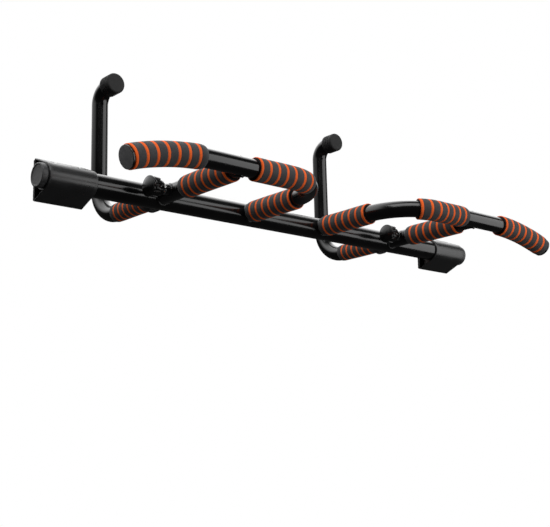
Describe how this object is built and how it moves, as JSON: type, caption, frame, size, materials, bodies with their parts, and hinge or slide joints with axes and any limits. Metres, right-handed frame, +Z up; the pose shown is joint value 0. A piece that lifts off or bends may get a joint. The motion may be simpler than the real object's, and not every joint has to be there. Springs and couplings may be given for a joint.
{
  "type": "pull up bar",
  "caption": "Doorway pull up bar with a round cross bar, wall shoes, two bent foam-gripped handles and hook arms that fold in behind it, each locked by a knob.",
  "frame": {"origin": "middle of the main bar's axis", "axes": "+X along the main bar to the user's right when facing the door, +Y towards the wall, +Z up"},
  "size_m": [0.971, 0.4243, 0.2954],
  "materials": {
    "black_tube": "gloss black powder coat",
    "shoe_plastic": "satin black moulded plastic",
    "black_rubber": "matt black rubber",
    "grey_cap": "satin dark grey plastic",
    "black_nylon": "satin black nylon",
    "knob_plastic": "satin black plastic",
    "foam": "closed-cell foam banded in orange and dark grey",
    "bare_steel": "zinc plated steel"
  },
  "bodies": {
    "frame": {"main_bar": "black_tube", "left_bar_cap": "grey_cap", "right_bar_cap": "grey_cap", "left_shoe": "shoe_plastic", "right_shoe": "shoe_plastic", "left_shoe_pad": "black_rubber", "right_shoe_pad": "black_rubber", "shoe_screws": "bare_steel", "left_handle_tube": "black_tube", "right_handle_tube": "black_tube", "left_outer_leg": "black_tube", "right_outer_leg": "black_tube", "left_handle_cap": "grey_cap", "right_handle_cap": "grey_cap", "left_inner_leg_grip": "foam", "right_inner_leg_grip": "foam", "left_outer_leg_grip": "foam", "right_outer_leg_grip": "foam", "left_front_grip": "foam", "right_front_grip": "foam", "left_end_grip": "foam", "right_end_grip": "foam", "left_arm_bush": "black_nylon", "right_arm_bush": "black_nylon", "left_knob_boss": "black_tube", "right_knob_boss": "black_tube"},
    "left_arm": {"left_arm_tube": "black_tube", "left_arm_grip": "foam", "left_hook_boot": "black_rubber"},
    "right_arm": {"right_arm_tube": "black_tube", "right_arm_grip": "foam", "right_hook_boot": "black_rubber"},
    "left_knob": {"left_knob_head": "knob_plastic", "left_knob_stud": "bare_steel", "left_knob_washer": "bare_steel", "left_knob_nut": "bare_steel"},
    "right_knob": {"right_knob_head": "knob_plastic", "right_knob_stud": "bare_steel", "right_knob_washer": "bare_steel", "right_knob_nut": "bare_steel"}
  },
  "joints": [
    {"name": "left_arm_fold", "type": "hinge", "parent": "frame", "child": "left_arm", "pos_m": [-0.2675, 0, 0], "axis": [0, 1, 0], "range_deg": [0, 90]},
    {"name": "right_arm_fold", "type": "hinge", "parent": "frame", "child": "right_arm", "pos_m": [0.2675, 0, 0], "axis": [0, -1, 0], "range_deg": [0, 90]},
    {"name": "left_knob_turn", "type": "hinge", "parent": "frame", "child": "left_knob", "pos_m": [-0.2975, -0.049, 0], "axis": [1, 0, 0], "continuous": true},
    {"name": "right_knob_turn", "type": "hinge", "parent": "frame", "child": "right_knob", "pos_m": [0.2375, -0.049, 0], "axis": [1, 0, 0], "continuous": true}
  ]
}
